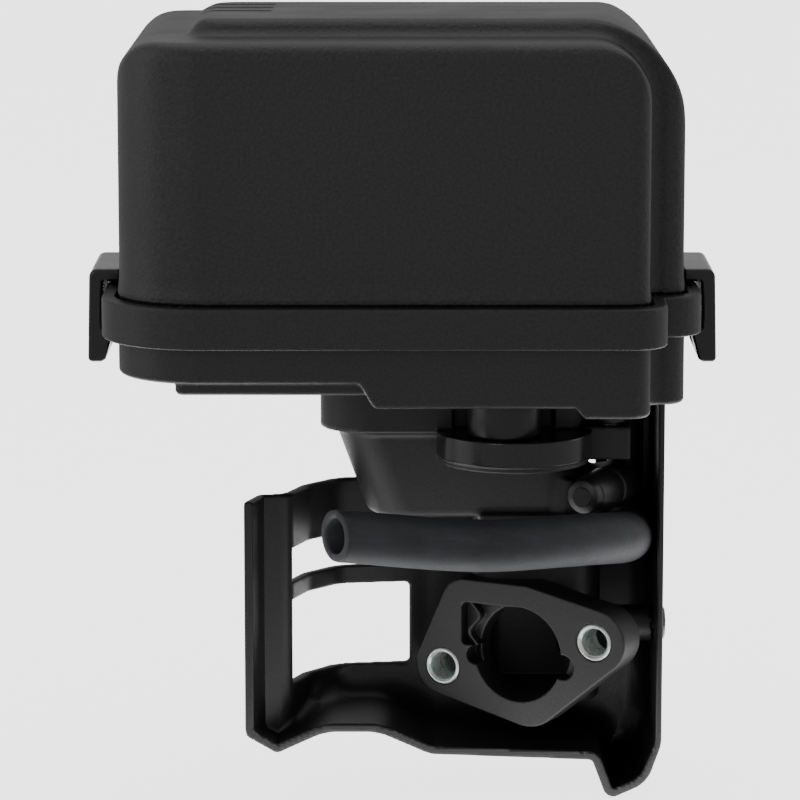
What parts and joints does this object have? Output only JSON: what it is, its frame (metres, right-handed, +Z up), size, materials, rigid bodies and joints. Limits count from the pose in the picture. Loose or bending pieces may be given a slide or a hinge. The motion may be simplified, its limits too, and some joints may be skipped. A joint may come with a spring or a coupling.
{
  "type": "air filter housing",
  "caption": "Black moulded air filter housing with a lidded filter case, side clips, elbow with carburettor flange, window shield and breather hose.",
  "frame": {"origin": "middle of the elbow's carburettor flange, halfway between its two stud holes, on the face", "axes": "+Z up towards the filter cover, -Y towards the front of the case, +X to the right seen from the front; the flange faces the front, turned 28 degrees towards -X"},
  "size_m": [0.1488, 0.1078, 0.1903],
  "materials": {
    "moulded_black": "fine moulded grain, satin sheen on rounded edges",
    "clip_black": "smooth glossy moulding",
    "rubber": "smooth moulded rubber",
    "hose_rubber": "dull extruded rubber, cut ends",
    "zinc_steel": "bright zinc plating with a slight blue cast",
    "filter_foam": "open cell foam",
    "filter_paper": "pleated filter paper"
  },
  "bodies": {
    "housing": {"case": "moulded_black", "cover": "moulded_black", "elbow": "moulded_black", "shield": "moulded_black", "breather_port": "moulded_black", "spacer_collar_front": "clip_black", "spacer_collar_side": "clip_black", "cover_seal": "rubber", "elbow_seal": "rubber", "elbow_plug": "rubber", "element_base_seal": "rubber", "element_top_cap": "rubber", "breather_hose": "hose_rubber", "stud_sleeve_left": "zinc_steel", "stud_sleeve_right": "zinc_steel", "clip_pin_left": "zinc_steel", "clip_pin_right": "zinc_steel", "elbow_bolt_front": "zinc_steel", "elbow_bolt_side": "zinc_steel", "shield_screw_side": "zinc_steel", "shield_screw_back_1": "zinc_steel", "shield_screw_back_2": "zinc_steel", "foam_sleeve": "filter_foam", "paper_element": "filter_paper"},
    "clip_left": {"clip_left": "clip_black"},
    "clip_right": {"clip_right": "clip_black"}
  },
  "joints": [
    {"name": "clip_left_hinge", "type": "hinge", "parent": "housing", "child": "clip_left", "pos_m": [-0.0992, 0.008, 0.0775], "axis": [0, -1, 0], "range_deg": [0, 70]},
    {"name": "clip_right_hinge", "type": "hinge", "parent": "housing", "child": "clip_right", "pos_m": [0.0436, 0.008, 0.0775], "axis": [0, 1, 0], "range_deg": [0, 70]}
  ]
}
